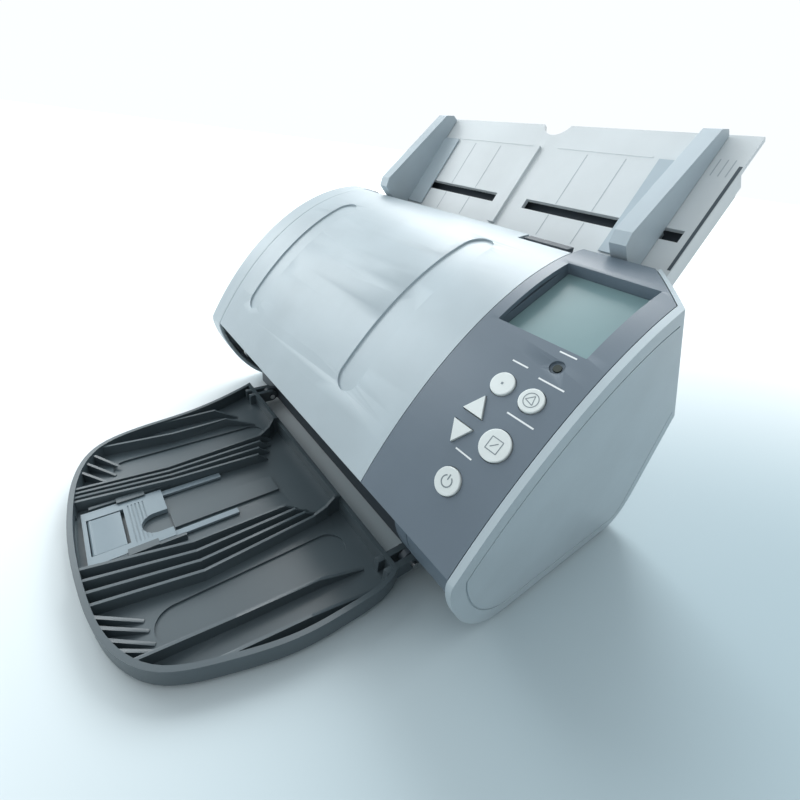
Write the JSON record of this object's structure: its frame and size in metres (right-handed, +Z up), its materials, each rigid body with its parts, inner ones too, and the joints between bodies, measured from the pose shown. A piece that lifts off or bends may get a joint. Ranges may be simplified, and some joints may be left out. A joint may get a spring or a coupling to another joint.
{
  "type": "sheet fed document scanner",
  "caption": "Desktop document scanner with a sheet chute, opening cover, operator panel with small display, and fold down paper stacker.",
  "frame": {"origin": "middle of the whole object's bounding box, on the surface that it stands on", "axes": "+Z up, -Y towards the front where paper comes out, +X towards the operator's right"},
  "size_m": [0.2986, 0.316, 0.2256],
  "materials": {
    "dark_plastic": "satin moulded plastic",
    "panel_plastic": "fine grained moulded plastic",
    "light_plastic": "satin silver grey plastic",
    "chute_plastic": "light moulded plastic",
    "guide_plastic": "light blue grey plastic",
    "stacker_plastic": "dark satin plastic",
    "slide_plastic": "dark satin plastic",
    "button_plastic": "semi gloss keycap",
    "display_glass": "clear window over a liquid crystal panel",
    "lamp_lens": "translucent lens",
    "scan_glass": "polished",
    "frame_steel": "zinc plated sheet",
    "shaft_steel": "ground",
    "gear_plastic": "natural acetal",
    "roller_rubber": "soft",
    "circuit_board": "green solder mask"
  },
  "bodies": {
    "base": {"base_tray": "dark_plastic", "right_side_cover": "light_plastic", "left_side_cover": "light_plastic", "lower_front_corner": "panel_plastic", "rear_cover": "panel_plastic", "front_bezel": "dark_plastic", "left_frame_plate": "frame_steel", "right_frame_plate": "frame_steel", "cover_hinge_pins": "shaft_steel", "stacker_hinge_pins": "shaft_steel", "lower_paper_guide": "dark_plastic", "lower_scan_glass": "scan_glass", "lower_image_sensor": "dark_plastic", "feed_motor": "frame_steel", "main_board": "circuit_board", "power_inlet": "dark_plastic", "data_socket": "dark_plastic", "rubber_feet": "roller_rubber", "case_screws": "shaft_steel", "chute_tray": "chute_plastic", "chute_back": "chute_plastic"},
    "cover": {"top_cover": "light_plastic", "operator_panel": "panel_plastic", "display_window": "display_glass", "display_module": "dark_plastic", "panel_board": "circuit_board", "check_lamp": "lamp_lens", "upper_frame": "dark_plastic", "upper_scan_glass": "scan_glass", "upper_image_sensor": "dark_plastic"},
    "pick": {"pick_shaft": "shaft_steel", "pick_tyres": "roller_rubber", "pick_gear": "gear_plastic"},
    "feed": {"feed_shaft": "shaft_steel", "feed_tyres": "roller_rubber", "feed_gear": "gear_plastic"},
    "exit": {"exit_shaft": "shaft_steel", "exit_tyres": "roller_rubber", "exit_gear": "gear_plastic"},
    "small_idler": {"small_idler_gear": "gear_plastic"},
    "large_idler": {"large_idler_gear": "gear_plastic"},
    "pinion": {"motor_pinion": "gear_plastic"},
    "brake": {"brake_roller": "roller_rubber"},
    "upper_feed": {"feed_idler": "gear_plastic"},
    "upper_exit": {"exit_idler": "gear_plastic"},
    "menu": {"menu_button": "button_plastic"},
    "stop": {"stop_button": "button_plastic"},
    "scan": {"scan_button": "button_plastic"},
    "power": {"power_button": "button_plastic"},
    "up": {"up_button": "button_plastic"},
    "down": {"down_button": "button_plastic"},
    "lever": {"cover_lever": "dark_plastic"},
    "extension": {"chute_extension": "dark_plastic"},
    "left_paper_guide": {"left_guide": "guide_plastic"},
    "right_paper_guide": {"right_guide": "guide_plastic"},
    "chute_pinion": {"guide_pinion": "gear_plastic"},
    "stacker": {"stacker_tray": "stacker_plastic"},
    "stacker_slide": {"stacker_extension": "slide_plastic"},
    "stopper": {"stacker_stopper": "slide_plastic"}
  },
  "joints": [
    {"name": "cover_open", "type": "hinge", "parent": "base", "child": "cover", "pos_m": [0, -0.02, 0.042], "axis": [1, 0, 0], "range_deg": [0, 55]},
    {"name": "stacker_fold", "type": "hinge", "parent": "base", "child": "stacker", "pos_m": [0.003, -0.014, 0.009], "axis": [1, 0, 0], "range_deg": [-50, 0]},
    {"name": "stacker_slide_out", "type": "slide", "parent": "stacker", "child": "stacker_slide", "axis": [0, -1, 0], "range_m": [0, 0.06]},
    {"name": "stopper_flip", "type": "hinge", "parent": "stacker_slide", "child": "stopper", "pos_m": [0.0025, -0.1485, 0.0073], "axis": [1, 0, 0], "range_deg": [0, 90]},
    {"name": "feed_spin", "type": "hinge", "parent": "base", "child": "feed", "pos_m": [0, 0.03472, 0.0759], "axis": [1, 0, 0], "continuous": true},
    {"name": "pick_spin", "type": "hinge", "parent": "base", "child": "pick", "pos_m": [0, 0.0607, 0.0909], "axis": [1, 0, 0], "continuous": true},
    {"name": "exit_spin", "type": "hinge", "parent": "base", "child": "exit", "pos_m": [0, -0.01031, 0.0499], "axis": [1, 0, 0], "continuous": true},
    {"name": "small_idler_spin", "type": "hinge", "parent": "base", "child": "small_idler", "pos_m": [0, 0.04771, 0.0834], "axis": [1, 0, 0], "continuous": true},
    {"name": "large_idler_spin", "type": "hinge", "parent": "base", "child": "large_idler", "pos_m": [0, 0.01221, 0.0629], "axis": [1, 0, 0], "continuous": true},
    {"name": "motor_spin", "type": "hinge", "parent": "base", "child": "pinion", "pos_m": [0, 0.00781, 0.04134], "axis": [1, 0, 0], "continuous": true},
    {"name": "brake_spin", "type": "hinge", "parent": "cover", "child": "brake", "pos_m": [0, 0.0525, 0.1051], "axis": [1, 0, 0], "continuous": true},
    {"name": "upper_feed_spin", "type": "hinge", "parent": "cover", "child": "upper_feed", "pos_m": [0, 0.02652, 0.0901], "axis": [1, 0, 0], "continuous": true},
    {"name": "upper_exit_spin", "type": "hinge", "parent": "cover", "child": "upper_exit", "pos_m": [0, -0.01851, 0.0641], "axis": [1, 0, 0], "continuous": true},
    {"name": "menu_press", "type": "slide", "parent": "cover", "child": "menu", "axis": [0, 0.6957, -0.7183], "range_m": [0, 0.0008], "stiffness_N_per_m": 300},
    {"name": "stop_press", "type": "slide", "parent": "cover", "child": "stop", "axis": [0, 0.6957, -0.7183], "range_m": [0, 0.0008], "stiffness_N_per_m": 300},
    {"name": "scan_press", "type": "slide", "parent": "cover", "child": "scan", "axis": [0, 0.7641, -0.6451], "range_m": [0, 0.0008], "stiffness_N_per_m": 300},
    {"name": "power_press", "type": "slide", "parent": "cover", "child": "power", "axis": [0, 0.8198, -0.5727], "range_m": [0, 0.0008], "stiffness_N_per_m": 300},
    {"name": "up_press", "type": "slide", "parent": "cover", "child": "up", "axis": [0, 0.7388, -0.674], "range_m": [0, 0.0008], "stiffness_N_per_m": 300},
    {"name": "down_press", "type": "slide", "parent": "cover", "child": "down", "axis": [0, 0.774, -0.6332], "range_m": [0, 0.0008], "stiffness_N_per_m": 300},
    {"name": "lever_pull", "type": "hinge", "parent": "cover", "child": "lever", "pos_m": [0.0645, 0.088, 0.146], "axis": [1, 0, 0], "range_deg": [0, 9], "stiffness_Nm_per_rad": 0.05},
    {"name": "chute_pull", "type": "slide", "parent": "base", "child": "extension", "axis": [0, 0.5548, 0.832], "range_m": [0, 0.06]},
    {"name": "guide_spread", "type": "slide", "parent": "base", "child": "right_paper_guide", "axis": [1, 0, 0], "range_m": [-0.068, 0.011]},
    {"name": "guide_spread_left", "type": "slide", "parent": "base", "child": "left_paper_guide", "axis": [1, 0, 0], "range_m": [-0.011, 0.068]},
    {"name": "guide_pinion_spin", "type": "hinge", "parent": "base", "child": "chute_pinion", "pos_m": [0.003, 0.12282, 0.17763], "axis": [0, -0.832, 0.5548], "range_deg": [-700, 120]}
  ],
  "couplings": [
    {"joint": "pick_spin", "follows": "feed_spin", "ratio": 1},
    {"joint": "exit_spin", "follows": "feed_spin", "ratio": 1},
    {"joint": "small_idler_spin", "follows": "feed_spin", "ratio": -1.5},
    {"joint": "large_idler_spin", "follows": "feed_spin", "ratio": -0.52941},
    {"joint": "motor_spin", "follows": "feed_spin", "ratio": 1.8},
    {"joint": "upper_feed_spin", "follows": "feed_spin", "ratio": -1},
    {"joint": "upper_exit_spin", "follows": "feed_spin", "ratio": -1},
    {"joint": "guide_spread_left", "follows": "guide_spread", "ratio": -1},
    {"joint": "guide_pinion_spin", "follows": "guide_spread", "rad_per_m": 166.67}
  ]
}
